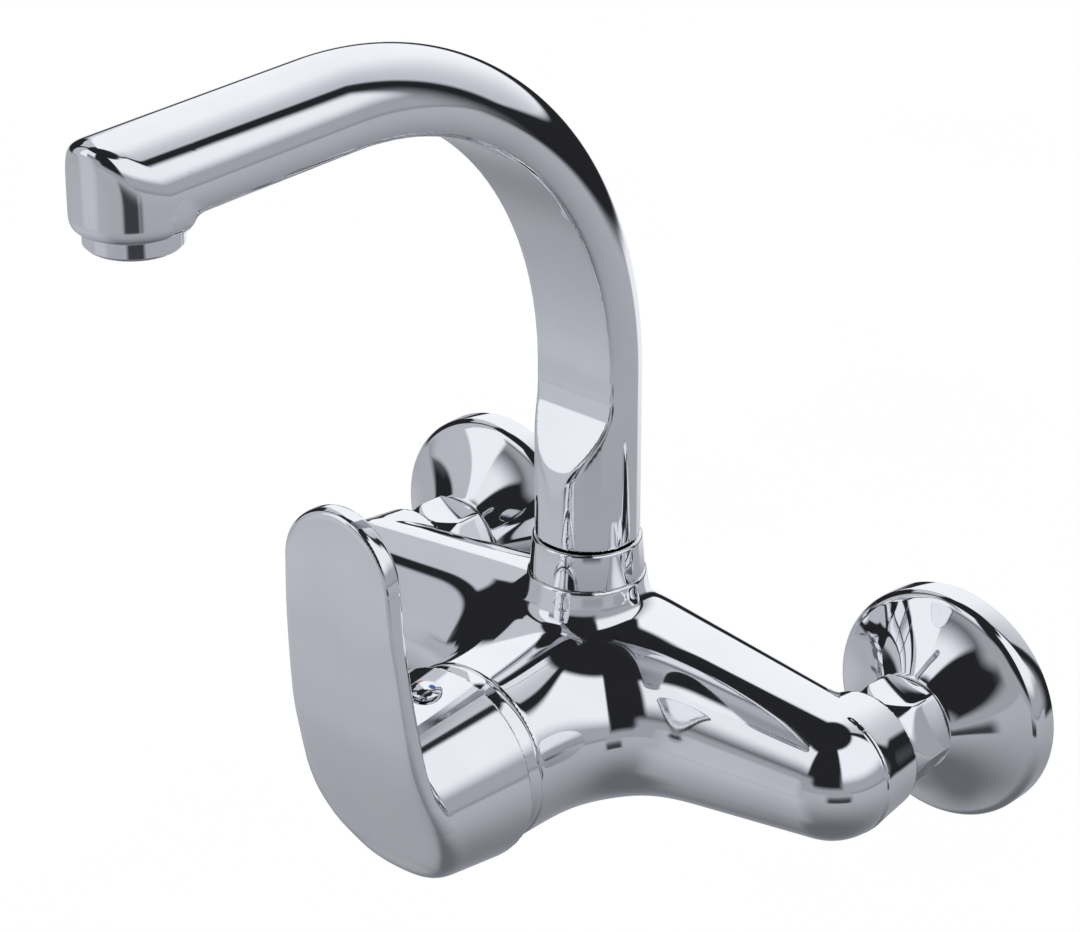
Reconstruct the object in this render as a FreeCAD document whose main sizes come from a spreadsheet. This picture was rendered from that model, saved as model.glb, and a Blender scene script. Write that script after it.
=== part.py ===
import FreeCAD
import Part
import PartDesign
import Sketcher
import math
import os

# Wall-mounted single-lever sink mixer with a high swivel spout.
# World frame in mm: X runs along the wall, +Y goes into the wall, Z is up.
# The wall surface is Y = 0 and the two inlet axes lie at Z = 0.

doc = FreeCAD.newDocument("wall_mixer")
V = FreeCAD.Vector
X_AXIS = V(1, 0, 0)
Y_AXIS = V(0, 1, 0)
Z_AXIS = V(0, 0, 1)
FORWARD = V(0, -1, 0)

# Driving dimensions, all in mm or degrees
driving = {
    "inlet_half_span": 75.0,
    "flange_radius": 30.3,
    "flange_wall": 1.3,
    "neck_hole_radius": 11.2,
    "nut_flats": 24.2,
    "thread_radius": 10.48,
    "union_bore": 6.5,
    "body_barrel_radius": 23.6,
    "barrel_front": 97.7,
    "cartridge_drop": 3.0,
    "arm_root_radius": 25.5,
    "elbow_radius": 17.0,
    "stub_radius": 15.5,
    "spout_reach_y": 54.0,
    "boss_radius": 16.0,
    "boss_top_radius": 14.8,
    "collar_radius": 14.4,
    "spout_radius": 13.1,
    "spout_wall": 1.6,
    "flat_offset": 5.3,
    "arch_start": 85.7,
    "arch_radius": 91.5,
    "outlet_y": 200.0,
    "outlet_radius": 13.5,
    "aerator_radius": 10.9,
    "tail_radius": 9.1,
    "seat_depth": 67.0,
    "cartridge_radius": 17.4,
    "pivot_depth": 91.0,
    "handle_rear": 103.3,
    "handle_rear_radius": 25.2,
    "handle_front_radius": 20.6,
    "plate_front": 143.4,
    "plate_thickness": 4.8,
    "plate_half_width": 16.8,
    "plate_top_centre": 63.5,
}
sheet = doc.addObject("Spreadsheet::Sheet", "Dims")
for row, (alias, value) in enumerate(driving.items(), start=1):
    sheet.set("A%d" % row, alias)
    sheet.set("B%d" % row, str(value))
    sheet.setAlias("B%d" % row, alias)
doc.recompute()


def dim(alias):
    return driving[alias]


def bind(obj, prop, value):
    # a number is set as it is, text is bound to the driving dimensions
    if isinstance(value, str):
        obj.setExpression(prop, value)
    else:
        setattr(obj, prop, value)


def turned(base, axis):
    return FreeCAD.Placement(base, FreeCAD.Rotation(Z_AXIS, axis))


def cylinder(name, radius, height, base, axis=Z_AXIS):
    obj = doc.addObject("Part::Cylinder", name)
    obj.Placement = turned(base, axis)
    bind(obj, "Radius", radius)
    bind(obj, "Height", height)
    return obj


def cone(name, radius1, radius2, height, base, axis=Z_AXIS):
    obj = doc.addObject("Part::Cone", name)
    obj.Placement = turned(base, axis)
    bind(obj, "Radius1", radius1)
    bind(obj, "Radius2", radius2)
    bind(obj, "Height", height)
    return obj


def ball(name, radius, centre):
    obj = doc.addObject("Part::Sphere", name)
    obj.Placement.Base = centre
    bind(obj, "Radius", radius)
    return obj


def block(name, size, centre):
    obj = doc.addObject("Part::Box", name)
    obj.Length, obj.Width, obj.Height = size
    obj.Placement.Base = centre - V(size[0] / 2, size[1] / 2, size[2] / 2)
    return obj


def ring_tube(name, centre_radius, section_radius, centre, axis=Z_AXIS):
    obj = doc.addObject("Part::Torus", name)
    obj.Radius1 = centre_radius
    obj.Radius2 = section_radius
    obj.Placement = turned(centre, axis)
    return obj


def joined(name, shapes):
    obj = doc.addObject("Part::MultiFuse", name)
    obj.Shapes = shapes
    return obj


def cut(name, base, tools):
    obj = doc.addObject("Part::Cut", name)
    obj.Base = base
    obj.Tool = tools[0] if len(tools) == 1 else joined(name + "_tools", tools)
    return obj


def common(name, first, second):
    obj = doc.addObject("Part::Common", name)
    obj.Base = first
    obj.Tool = second
    return obj


def group(name, shapes):
    obj = doc.addObject("Part::Compound", name)
    obj.Links = shapes
    return obj


def tube(name, outer, inner, height, base, axis=Z_AXIS):
    skin = cylinder(name + "_outer", outer, height, base, axis)
    core = cylinder(name + "_bore", inner, height, base, axis)
    return cut(name, skin, [core])


def rounded(name, base, radius, chosen):
    # fillet the edges of base for which chosen(edge) is true
    doc.recompute()
    numbers = [i for i, e in enumerate(base.Shape.Edges, start=1) if chosen(e)]
    obj = doc.addObject("Part::Fillet", name)
    obj.Base = base
    obj.Edges = [(i, radius, radius) for i in numbers]
    return obj


def end_gaps(sketch, i):
    # how far apart each end of one segment is from each end of the next
    ends = [(a, b) for a in (1, 2) for b in (1, 2)]
    return [(sketch.getPoint(i, a).distanceToPoint(sketch.getPoint(i + 1, b)), a, b) for a, b in ends]


def draw(sketch, start, segments):
    # a closed outline: one point draws a line, two an arc, more a smooth curve
    here = V(start[0], start[1], 0)
    for segment in segments:
        there = V(segment[-1][0], segment[-1][1], 0)
        if len(segment) == 1:
            sketch.addGeometry(Part.LineSegment(here, there), False)
        elif len(segment) == 2:
            middle = V(segment[0][0], segment[0][1], 0)
            sketch.addGeometry(Part.Arc(here, middle, there), False)
        else:
            curve = Part.BSplineCurve()
            curve.interpolate([here] + [V(x, y, 0) for x, y in segment])
            sketch.addGeometry(curve, False)
        here = there
    for i in range(sketch.GeometryCount - 1):
        gap, first, second = min(end_gaps(sketch, i))
        sketch.addConstraint(Sketcher.Constraint("Coincident", i, first, i + 1, second))


def free_sketch(name, placement, start, segments):
    sketch = doc.addObject("Sketcher::SketchObject", name)
    sketch.Placement = placement
    draw(sketch, start, segments)
    return sketch


def extruded(name, sketch, length, symmetric=False):
    obj = doc.addObject("Part::Extrusion", name)
    obj.Base = sketch
    obj.DirMode = "Normal"
    obj.LengthFwd = length
    obj.Solid = True
    obj.Symmetric = symmetric
    return obj


def origin_plane(body, role):
    return [o for o in body.Origin.OriginFeatures if o.Role == role][0]


def body_sketch(body, name, start, segments, role="XZ_Plane"):
    sketch = body.newObject("Sketcher::SketchObject", name)
    sketch.AttachmentSupport = [(origin_plane(body, role), "")]
    sketch.MapMode = "FlatFace"
    draw(sketch, start, segments)
    return sketch


def turned_body(name, start, segments, placement):
    # a PartDesign body turned about its own Z axis from an outline of (radius, height)
    body = doc.addObject("PartDesign::Body", name)
    sketch = body_sketch(body, name + "_section", start, segments)
    turn = body.newObject("PartDesign::Revolution", name + "_turn")
    turn.Profile = sketch
    turn.ReferenceAxis = (sketch, ["V_Axis"])
    turn.Angle = 360.0
    sketch.Visibility = False
    body.Placement = placement
    doc.recompute()
    return body


nodes = {}


def node(name, obj):
    # the object that stands for one physical piece carries the node name as its label
    obj.Label = name
    nodes[name] = obj
    return obj


SIDES = ((1, "right"), (-1, "left"))
HALF = dim("inlet_half_span")
DROP = -dim("cartridge_drop")
SPOUT_Y = -dim("spout_reach_y")
ARM_Y = -50.0


def at_depth(depth, x=0.0, z=DROP):
    # a point on the cartridge axis, given its distance in front of the wall
    return V(x, -depth, z)


# Mixer body: one casting with a barrel, two arms, elbows and a spout boss
BODY_END = 36.0
ELBOW_X = 74.6
ARM_TAPER = math.radians(6.6)
ARM_TIP_X = ELBOW_X + dim("elbow_radius") * math.sin(ARM_TAPER)
ARM_TIP_RADIUS = dim("elbow_radius") * math.cos(ARM_TAPER)
BOSS_TOP = 31.9
BOSS_FLARE = 22.7
NECK_TOP = 37.5
NECK_RADIUS = 12.4
BARREL_ROOT = 50.0
BARREL_FRONT = dim("barrel_front")

barrel_length = BARREL_FRONT - BARREL_ROOT
barrel = cylinder("barrel", "Dims.body_barrel_radius", barrel_length, at_depth(BARREL_ROOT), FORWARD)
barrel_back = ball("barrel_back", "Dims.body_barrel_radius", at_depth(BARREL_ROOT))
boss = cylinder("boss", "Dims.boss_radius", BOSS_FLARE, V(0, SPOUT_Y, 0))
ARM_CROWN_X = 16.0
crown_radius = dim("arm_root_radius") - ARM_CROWN_X * math.tan(ARM_TAPER)
crown_rise = ARM_CROWN_X * math.tan(ARM_TAPER) / 2
ARM_END_X = ELBOW_X + dim("elbow_radius")
cap_angle = (math.radians(90) + ARM_TAPER) / 2
cap_radius = dim("elbow_radius") * math.cos(cap_angle)
cap_x = ELBOW_X + dim("elbow_radius") * math.sin(cap_angle)
arm_outline = [
    [(cap_radius, -cap_x), (ARM_TIP_RADIUS, -ARM_TIP_X)],
    [(crown_radius, -ARM_CROWN_X)],
    [(crown_radius + crown_rise, 0), (crown_radius, ARM_CROWN_X)],
    [(ARM_TIP_RADIUS, ARM_TIP_X)],
    [(cap_radius, cap_x), (0, ARM_END_X)],
    [(0, -ARM_END_X)],
]
STUB_ROOT = dim("elbow_radius") - 0.05
ALONG_WALL = FreeCAD.Placement(V(0, ARM_Y, 0), FreeCAD.Rotation(Z_AXIS, X_AXIS))
arms = turned_body("arms", (0, -ARM_END_X), arm_outline, ALONG_WALL)
core_parts = [barrel, barrel_back, boss, arms]
end_parts = []
for side, tag in SIDES:
    root = V(side * HALF, ARM_Y, 0)
    end_parts.append(cone("stub_" + tag, STUB_ROOT, "Dims.stub_radius", -ARM_Y - BODY_END, root, Y_AXIS))
core = joined("casting_core", core_parts)
core.Refine = True
BLEND_RADIUS = 13.0


def valley(edge):
    # the curved seams where the forward barrel meets the two arms
    box = edge.BoundBox
    return -72.0 < box.YMax < -45.0 and box.YMin < -62.0 and box.ZLength > 8.0 and box.XLength > 3.0


casting = rounded("casting", core, BLEND_RADIUS, valley)
SPOT_FACE = 18.0
spot_faces = [cylinder("spot_face_" + tag, SPOT_FACE, BODY_END, V(side * HALF, -BODY_END, 0), Y_AXIS)
              for side, tag in SIDES]
flare_foot = V(0, SPOUT_Y, BOSS_FLARE)
boss_flare = cone("boss_flare", "Dims.boss_radius", "Dims.boss_top_radius", BOSS_TOP - BOSS_FLARE, flare_foot)
boss_neck = cylinder("boss_neck", NECK_RADIUS, NECK_TOP - BOSS_TOP + 1.0, V(0, SPOUT_Y, BOSS_TOP - 1.0))
uncut_body = joined("body_uncut", [casting, boss_flare, boss_neck] + end_parts)
solid_body = cut("body_solid", uncut_body, spot_faces)

SEAT = dim("seat_depth")
THREAD_START = 84.8
RETAINER_BORE = 19.0
CARTRIDGE_CLEARANCE = 0.2
PORT_X = 7.5
PORT_Z = -7.5
PORT_RADIUS = 3.6
MIX_Z = 5.5
MIX_RADIUS = 4.2
CHANNEL_RADIUS = 6.5
CHANNEL_Z = -5.2
CHANNEL_START = 5.0
TAIL_BORE = dim("tail_radius") + 0.1
TAIL_BORE_FLOOR = 8.0
SEAT_THREAD = 9.0
CHAMBER_RADIUS = 12.5
CHAMBER_START = 20.0
CHAMBER_LENGTH = 42.0
INLET_RADIUS = 7.0
INLET_THREAD_LENGTH = 9.0
CARTRIDGE_BORE = dim("cartridge_radius") + CARTRIDGE_CLEARANCE
bores = [
    cylinder("cartridge_bore", CARTRIDGE_BORE, BARREL_FRONT - SEAT + 1.0, at_depth(SEAT), FORWARD),
    cylinder("retainer_bore", RETAINER_BORE, BARREL_FRONT - THREAD_START + 1.0, at_depth(THREAD_START), FORWARD),
    cylinder("mix_port", MIX_RADIUS, SEAT - dim("spout_reach_y") + 1.0, V(0, SPOUT_Y, MIX_Z), FORWARD),
    cylinder("mix_well", TAIL_BORE - 2.0, TAIL_BORE_FLOOR, V(0, SPOUT_Y, MIX_Z - 1.5)),
    cylinder("tail_bore", TAIL_BORE, NECK_TOP, V(0, SPOUT_Y, TAIL_BORE_FLOOR)),
]
for side, tag in SIDES:
    outward = V(side, 0, 0)
    port_start = V(side * PORT_X, ARM_Y, PORT_Z)
    channel_start = V(side * CHANNEL_START, ARM_Y, CHANNEL_Z)
    chamber_start = V(side * CHAMBER_START, ARM_Y, 0)
    thread_start = V(side * HALF, -BODY_END - INLET_THREAD_LENGTH, 0)
    bores += [
        cylinder("port_" + tag, PORT_RADIUS, SEAT + ARM_Y + 1.0, port_start, FORWARD),
        cylinder("channel_" + tag, CHANNEL_RADIUS, HALF - CHANNEL_START, channel_start, outward),
        cylinder("chamber_" + tag, CHAMBER_RADIUS, CHAMBER_LENGTH, chamber_start, outward),
        cylinder("inlet_" + tag, INLET_RADIUS, -ARM_Y - BODY_END + 1.0, V(side * HALF, ARM_Y, 0), Y_AXIS),
        cylinder("inlet_thread_" + tag, SEAT_THREAD, INLET_THREAD_LENGTH + 1.0, thread_start, Y_AXIS),
    ]
node("mixer_body", cut("mixer_body", solid_body, bores))

# Inlet seats: hollow nipples screwed into the body that carry the loose nuts
NUT_BACK = 19.0
NUT_FRONT = 34.7
NUT_CORNER_START = 28.2
LIP_DEPTH = 31.8
SEAT_FACE = 29.4
SEAT_START = 45.0
SEAT_LENGTH = SEAT_START - SEAT_FACE
SEAT_COLLAR = 9.8
SEAT_WAIST = 7.9
INTO_WALL = FreeCAD.Rotation(Z_AXIS, Y_AXIS)


def along_wall_axis(side, depth):
    # local Z runs into the wall from a point at the given depth on an inlet axis
    return FreeCAD.Placement(V(side * HALF, -depth, 0), INTO_WALL)


BORE = dim("union_bore")
COLLAR_FOOT = 13.4
seat_outline = [
    [(SEAT_THREAD, 0)], [(SEAT_THREAD, INLET_THREAD_LENGTH)], [(SEAT_WAIST, INLET_THREAD_LENGTH)],
    [(SEAT_WAIST, COLLAR_FOOT)], [(SEAT_COLLAR, COLLAR_FOOT)],
    [(SEAT_COLLAR, SEAT_LENGTH)], [(BORE, SEAT_LENGTH)], [(BORE, 0)],
]
seats = [turned_body("inlet_seat_" + tag, (BORE, 0), seat_outline, along_wall_axis(side, SEAT_START))
         for side, tag in SIDES]
node("inlet_seats", group("inlet_seats", seats))

# Union nuts: hexagon with long front chamfer, threaded bore and an inner lip
CORNER = dim("nut_flats") / 2 / math.cos(math.radians(30))
NUT_LENGTH = NUT_FRONT - NUT_BACK


NUT_FACE_RADIUS = 10.9
NUT_BACK_RADIUS = 12.0
BACK_CHAMFER = 1.4
LIP_RADIUS = 8.2
THREAD_BORE = dim("thread_radius") + 0.02
OUTSIDE = CORNER + 4.0
TOUCH = 0.01


def turned_groove(body, name, start, segments):
    # a groove cut all round the body's own Z axis
    sketch = body_sketch(body, name + "_section", start, segments)
    groove = body.newObject("PartDesign::Groove", name)
    groove.Profile = sketch
    groove.ReferenceAxis = (sketch, ["V_Axis"])
    groove.Angle = 360.0
    doc.recompute()


def union_nut(tag, side, first_corner):
    name = "union_nut_" + tag
    body = doc.addObject("PartDesign::Body", name)
    points = []
    for k in range(7):
        angle = math.radians(first_corner + 60 * k)
        points.append((CORNER * math.cos(angle), CORNER * math.sin(angle)))
    hexagon = body_sketch(body, name + "_hexagon", points[0], [[p] for p in points[1:]], "XY_Plane")
    pad = body.newObject("PartDesign::Pad", name + "_pad")
    pad.Profile = hexagon
    pad.Length = NUT_LENGTH
    doc.recompute()
    # grooves take the corners off both ends and open the bore
    straight = NUT_FRONT - NUT_CORNER_START
    turned_groove(body, name + "_front_chamfer", (CORNER + TOUCH, straight), [
        [(NUT_FACE_RADIUS, -TOUCH)], [(OUTSIDE, -TOUCH)], [(OUTSIDE, straight)], [(CORNER + TOUCH, straight)]])
    back = NUT_LENGTH - BACK_CHAMFER
    turned_groove(body, name + "_back_chamfer", (CORNER + TOUCH, back), [
        [(NUT_BACK_RADIUS, NUT_LENGTH + TOUCH)], [(OUTSIDE, NUT_LENGTH + TOUCH)], [(OUTSIDE, back)],
        [(CORNER + TOUCH, back)]])
    lip = NUT_FRONT - LIP_DEPTH
    turned_groove(body, name + "_bore", (0, -1), [
        [(LIP_RADIUS, -1)], [(LIP_RADIUS, lip)], [(THREAD_BORE, lip)], [(THREAD_BORE, NUT_LENGTH + 1)],
        [(0, NUT_LENGTH + 1)], [(0, -1)]])
    body.Placement = along_wall_axis(side, NUT_FRONT)
    doc.recompute()
    return body


FIRST_CORNER = 64.0
node("union_nuts", group("union_nuts", [union_nut(tag, side, FIRST_CORNER) for side, tag in SIDES]))

# Filter washers squeezed between each seat and its union
WASHER_THICKNESS = 1.9
washers = []
for side, tag in SIDES:
    foot = V(side * HALF, -SEAT_FACE + 0.05, 0)
    washers.append(tube("filter_washer_" + tag, SEAT_COLLAR, BORE, WASHER_THICKNESS, foot, Y_AXIS))
node("filter_washers", group("filter_washers", washers))

# Wall unions: threaded at both ends, with a plain waist behind the flange
UNION_FACE = SEAT_FACE - WASHER_THICKNESS - 0.1
UNION_TAIL = 16.0
TAIL_THREAD_START = -7.0
UNION_WAIST = 9.4
THREAD_END = 12.0
THREAD = dim("thread_radius")
FRONT_LEAD = 0.6
TAIL_LEAD = 0.8
front_thread_end = UNION_FACE - THREAD_END
tail_thread_start = UNION_FACE + TAIL_THREAD_START
tail_end = UNION_FACE + UNION_TAIL
union_outline = [
    [(THREAD - FRONT_LEAD, 0)], [(THREAD, FRONT_LEAD)], [(THREAD, front_thread_end)],
    [(UNION_WAIST, front_thread_end)], [(UNION_WAIST, tail_thread_start)], [(THREAD, tail_thread_start)],
    [(THREAD, tail_end - TAIL_LEAD)], [(THREAD - TAIL_LEAD, tail_end)], [(BORE, tail_end)], [(BORE, 0)],
]
for side, tag in SIDES:
    name = "wall_union_" + tag
    node(name, turned_body(name, (BORE, 0), union_outline, along_wall_axis(side, UNION_FACE)))

# Wall flanges: spun bells with a rounded rim band
RIM = dim("flange_radius")
NECK = dim("neck_hole_radius")
WALL = dim("flange_wall")
BELL_TOP = 18.6
bell = [
    [(RIM, 0)], [(RIM, 4.6)], [(RIM - 0.55, 6.6), (RIM - 2.2, 7.7)],
    [(19.6, 12.2), (NECK + WALL, BELL_TOP)], [(NECK, BELL_TOP)], [(18.6, 11.2), (RIM - 2.6, 6.5)],
    [(RIM - 1.6, 5.8), (RIM - WALL, 4.4)], [(RIM - WALL, 0)],
]
OUT_OF_WALL = FreeCAD.Rotation(Z_AXIS, FORWARD)
for side, tag in SIDES:
    place = FreeCAD.Placement(V(side * HALF, 0, 0), OUT_OF_WALL)
    node("wall_flange_" + tag, turned_body("wall_flange_" + tag, (RIM - WALL, 0), bell, place))

# Flange seals: rubber rings that centre each flange on its union
SEAL_RADIUS = 12.6
SEAL_DEPTH = 15.4
SEAL_LENGTH = 2.4
seal_collars = []
for side, tag in SIDES:
    foot = V(side * HALF, -SEAL_DEPTH, 0)
    seal_collars.append(tube("flange_seal_" + tag, SEAL_RADIUS, THREAD_BORE, SEAL_LENGTH, foot, Y_AXIS))
node("flange_seals", group("flange_seals", seal_collars))

# Spout: round foot, scooped into a D section, high arch, level arm and round outlet
R = dim("spout_radius")
FLAT = dim("flat_offset")
ARCH_Z = dim("arch_start")
ARCH_R = dim("arch_radius")
ARM_Z = ARCH_Z + ARCH_R
OUTLET_Y = -dim("outlet_y")
FOOT = 42.0
SCOOP_TOP = 80.0
SCOOP_SHOULDER = 75.5
SCOOP_HEEL = 64.8
SCOOP_LOW = 56.4


def facing_left(origin):
    # sketch plane with local X forward from the wall and local Y up
    rotation = FreeCAD.Rotation(FORWARD, Z_AXIS, V(-1, 0, 0), "XYZ")
    return FreeCAD.Placement(origin, rotation)


def centre_line(name, low):
    sketch = doc.addObject("Sketcher::SketchObject", name)
    sketch.Placement = facing_left(V(0, SPOUT_Y, 0))
    half_way = math.radians(45)
    arch_middle = V(ARCH_R * (1 - math.cos(half_way)), ARCH_Z + ARCH_R * math.sin(half_way), 0)
    sketch.addGeometry(Part.LineSegment(V(0, low, 0), V(0, ARCH_Z, 0)), False)
    sketch.addGeometry(Part.Arc(V(0, ARCH_Z, 0), arch_middle, V(ARCH_R, ARM_Z, 0)), False)
    sketch.addGeometry(Part.LineSegment(V(ARCH_R, ARM_Z, 0), V(SPOUT_Y - OUTLET_Y, ARM_Z, 0)), False)
    return sketch


def d_section(name, radius, flat, height):
    # round towards the wall, flat towards the front
    half = math.sqrt(radius * radius - flat * flat)
    placement = FreeCAD.Placement(V(0, SPOUT_Y, height), FreeCAD.Rotation())
    return free_sketch(name, placement, (-half, -flat), [[(half, -flat)], [(0, radius), (-half, -flat)]])


def swept(name, section, path):
    obj = doc.addObject("Part::Sweep", name)
    obj.Sections = [section]
    obj.Spine = (path, ["Edge1", "Edge2", "Edge3"])
    obj.Solid = True
    obj.Frenet = False
    return obj


outer_section = d_section("arch_section", R, FLAT, SCOOP_TOP)
arch_outer = swept("arch_outer", outer_section, centre_line("arch_line", SCOOP_TOP))
CAVITY_LOW = 68.0
wall = dim("spout_wall")
inner_section = d_section("cavity_section", R - wall, FLAT - wall, CAVITY_LOW)
cavity = swept("arch_cavity", inner_section, centre_line("cavity_line", CAVITY_LOW))
shaft = cylinder("spout_foot", "Dims.spout_radius", SCOOP_TOP - FOOT, V(0, SPOUT_Y, FOOT))
# the scoop leaves the flat in a soft bend, runs straight and fades out into the round shaft
scoop_outline = [
    [(FLAT + 0.25, 77.7), (FLAT + 1.0, SCOOP_SHOULDER)], [(FLAT + 6.07, SCOOP_HEEL)],
    [(R - 0.33, 60.7), (R + 0.15, SCOOP_LOW)], [(2 * R, SCOOP_LOW)], [(2 * R, SCOOP_TOP)], [(FLAT, SCOOP_TOP)],
]
side_view = facing_left(V(0, SPOUT_Y, 0))
scoop_sketch = free_sketch("scoop_section", side_view, (FLAT, SCOOP_TOP), scoop_outline)
scoop = extruded("scoop", scoop_sketch, 4 * R, True)
scooped_foot = cut("scooped_foot", shaft, [scoop])
TIP_LOW = 169.0
post = cylinder("outlet_post", "Dims.outlet_radius", 30.0, V(0, OUTLET_Y, TIP_LOW))
crown = cylinder("outlet_crown", "Dims.spout_radius", 60.0, V(0, OUTLET_Y + 30.0, ARM_Z), FORWARD)
UNDER_SPARE = 6.0
under_height = ARM_Z - TIP_LOW + UNDER_SPARE
under = block("outlet_under", (4 * R, 4 * R, under_height), V(0, OUTLET_Y, ARM_Z - under_height / 2))
tip_sharp = common("tip_sharp", post, joined("tip_envelope", [crown, under]))


def crown_edge(edge):
    box = edge.BoundBox
    return box.ZMax > ARM_Z + 3.0 and box.ZLength > 2.0 and edge.Length > 10.0


def low_edge(edge):
    box = edge.BoundBox
    return box.ZLength < 0.1 and box.ZMax < TIP_LOW + 0.1 and edge.Length > 20.0


tip_top = rounded("tip_top", tip_sharp, 3.0, crown_edge)
tip = rounded("tip", tip_top, 2.4, low_edge)
TAIL_LOW = 10.0
tail = cylinder("spout_tail", "Dims.tail_radius", FOOT - TAIL_LOW, V(0, SPOUT_Y, TAIL_LOW))
spout_solid = joined("spout_solid", [scooped_foot, arch_outer, tip, tail])
TAIL_WATER = 6.4
GROOVE_LEVELS = (14.5, 20.5)
GROOVE_ROOT = 7.55
GROOVE_HEIGHT = 2.0
OUTLET_THREAD = 9.6
OUTLET_THREAD_TOP = 175.6
OUTLET_WELL = 8.0
OUTLET_WELL_TOP = 183.0
SLIP_ROOT = 8.0
SLIP_LOW = 37.85
SLIP_HIGH = 39.2
spout_cuts = [
    cavity,
    cylinder("tail_water", TAIL_WATER, CAVITY_LOW + 2.0 - TAIL_LOW, V(0, SPOUT_Y, TAIL_LOW)),
    cylinder("outlet_thread", OUTLET_THREAD, OUTLET_THREAD_TOP - TIP_LOW + 1.0, V(0, OUTLET_Y, TIP_LOW - 1.0)),
    cylinder("outlet_well", OUTLET_WELL, OUTLET_WELL_TOP - TIP_LOW, V(0, OUTLET_Y, TIP_LOW)),
    tube("slip_groove", 12.0, SLIP_ROOT, SLIP_HIGH - SLIP_LOW + 0.3, V(0, SPOUT_Y, SLIP_LOW - 0.15)),
]
for k, level in enumerate(GROOVE_LEVELS):
    foot = V(0, SPOUT_Y, level - GROOVE_HEIGHT / 2)
    spout_cuts.append(tube("o_ring_groove_%d" % k, 10.5, GROOVE_ROOT, GROOVE_HEIGHT, foot))
node("spout", cut("spout", spout_solid, spout_cuts))

# Spout seals, slip ring and collar
O_RING_SECTION = 0.8
O_RING_CENTRE = GROOVE_ROOT + O_RING_SECTION + 0.02
o_rings = [ring_tube("spout_o_ring_%d" % k, O_RING_CENTRE, O_RING_SECTION, V(0, SPOUT_Y, level))
           for k, level in enumerate(GROOVE_LEVELS)]
node("spout_o_rings", group("spout_o_rings", o_rings))
SLIP_RADIUS = 11.6
slip_full = tube("slip_ring_full", SLIP_RADIUS, SLIP_ROOT + 0.03, SLIP_HIGH - SLIP_LOW, V(0, SPOUT_Y, SLIP_LOW))
slip_gap = block("slip_gap", (1.2, 14.0, 3.0), V(0, SPOUT_Y - 7.0, 38.5))
node("spout_slip_ring", cut("spout_slip_ring", slip_full, [slip_gap]))
COLLAR_LOW = BOSS_TOP + 0.1
COLLAR_TOP = 41.5
collar_height = COLLAR_TOP - COLLAR_LOW
COLLAR_BORE = NECK_RADIUS + 0.03
COLLAR_LIP = 9.6
lip_height = 39.6 - COLLAR_LOW
collar_outline = [
    [(dim("collar_radius"), 0)], [(13.75, 8.6)], [(13.6, 9.2), (13.0, collar_height)],
    [(COLLAR_LIP, collar_height)], [(COLLAR_LIP, lip_height)], [(COLLAR_BORE, lip_height)], [(COLLAR_BORE, 0)],
]
place = FreeCAD.Placement(V(0, SPOUT_Y, COLLAR_LOW), FreeCAD.Rotation())
node("spout_collar", turned_body("spout_collar", (COLLAR_BORE, 0), collar_outline, place))

# Aerator: screwed housing with two wrench flats, flow insert, screens and washer
AER = dim("aerator_radius")
AERATOR_LOW = 164.8
AERATOR_HEIGHT = 9.6
AERATOR_BORE = 8.5
AERATOR_MOUTH = 7.6
MOUTH_LIP = 1.2
skirt = TIP_LOW - AERATOR_LOW - 0.05
aerator_thread = OUTLET_THREAD - 0.04
aerator_outline = [
    [(AER - 0.8, 0)], [(AER, 0.8)], [(AER, skirt)], [(aerator_thread, skirt)], [(aerator_thread, AERATOR_HEIGHT)],
    [(AERATOR_BORE, AERATOR_HEIGHT)], [(AERATOR_BORE, MOUTH_LIP)], [(AERATOR_MOUTH, MOUTH_LIP)], [(AERATOR_MOUTH, 0)],
]
place = FreeCAD.Placement(V(0, OUTLET_Y, AERATOR_LOW), FreeCAD.Rotation())
shell = turned_body("aerator_shell", (AERATOR_MOUTH, 0), aerator_outline, place)
FLAT_HALF = AER - 0.55
FLAT_SIZE = (4.0, 7.0, 3.2)
FLAT_Z = AERATOR_LOW + 1.4
flats = [block("aerator_flat_" + tag, FLAT_SIZE, V(side * (FLAT_HALF + FLAT_SIZE[0] / 2), OUTLET_Y, FLAT_Z))
         for side, tag in SIDES]
node("aerator_housing", cut("aerator_housing", shell, flats))
INSERT_RADIUS = AERATOR_BORE - 0.04
INSERT_HEIGHT = 7.4
insert_core = cylinder("insert_core", INSERT_RADIUS, INSERT_HEIGHT, V(0, OUTLET_Y, AERATOR_LOW + MOUTH_LIP + 0.1))
SLOTS = 12
SLOT_CIRCLE = 5.6
SLOT_RADIUS = 1.0
SLOT_LENGTH = 12.0
slots = []
for k in range(SLOTS):
    turn = 2 * math.pi * k / SLOTS
    spot = V(SLOT_CIRCLE * math.cos(turn), OUTLET_Y + SLOT_CIRCLE * math.sin(turn), AERATOR_LOW)
    slots.append(cylinder("insert_hole_%d" % k, SLOT_RADIUS, SLOT_LENGTH, spot))
slots.append(cylinder("insert_centre", 2 * SLOT_RADIUS, SLOT_LENGTH, V(0, OUTLET_Y, AERATOR_LOW)))
node("aerator_insert", cut("aerator_insert", insert_core, slots))
SCREEN_Z = AERATOR_LOW + 8.72
SCREEN_THICKNESS = 0.5
MESH_PITCH = 2.1
MESH_HOLE = (1.5, 1.5, 2.0)
MESH_REACH = 3
screen_disc = cylinder("screen_disc", INSERT_RADIUS, SCREEN_THICKNESS, V(0, OUTLET_Y, SCREEN_Z))
holes = []
for i in range(-MESH_REACH, MESH_REACH + 1):
    for j in range(-MESH_REACH, MESH_REACH + 1):
        if math.hypot(i, j) < MESH_REACH + 0.4:
            spot = V(i * MESH_PITCH, OUTLET_Y + j * MESH_PITCH, SCREEN_Z)
            holes.append(block("mesh_%d_%d" % (i + MESH_REACH, j + MESH_REACH), MESH_HOLE, spot))
node("aerator_screen", cut("aerator_screen", screen_disc, holes))
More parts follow.
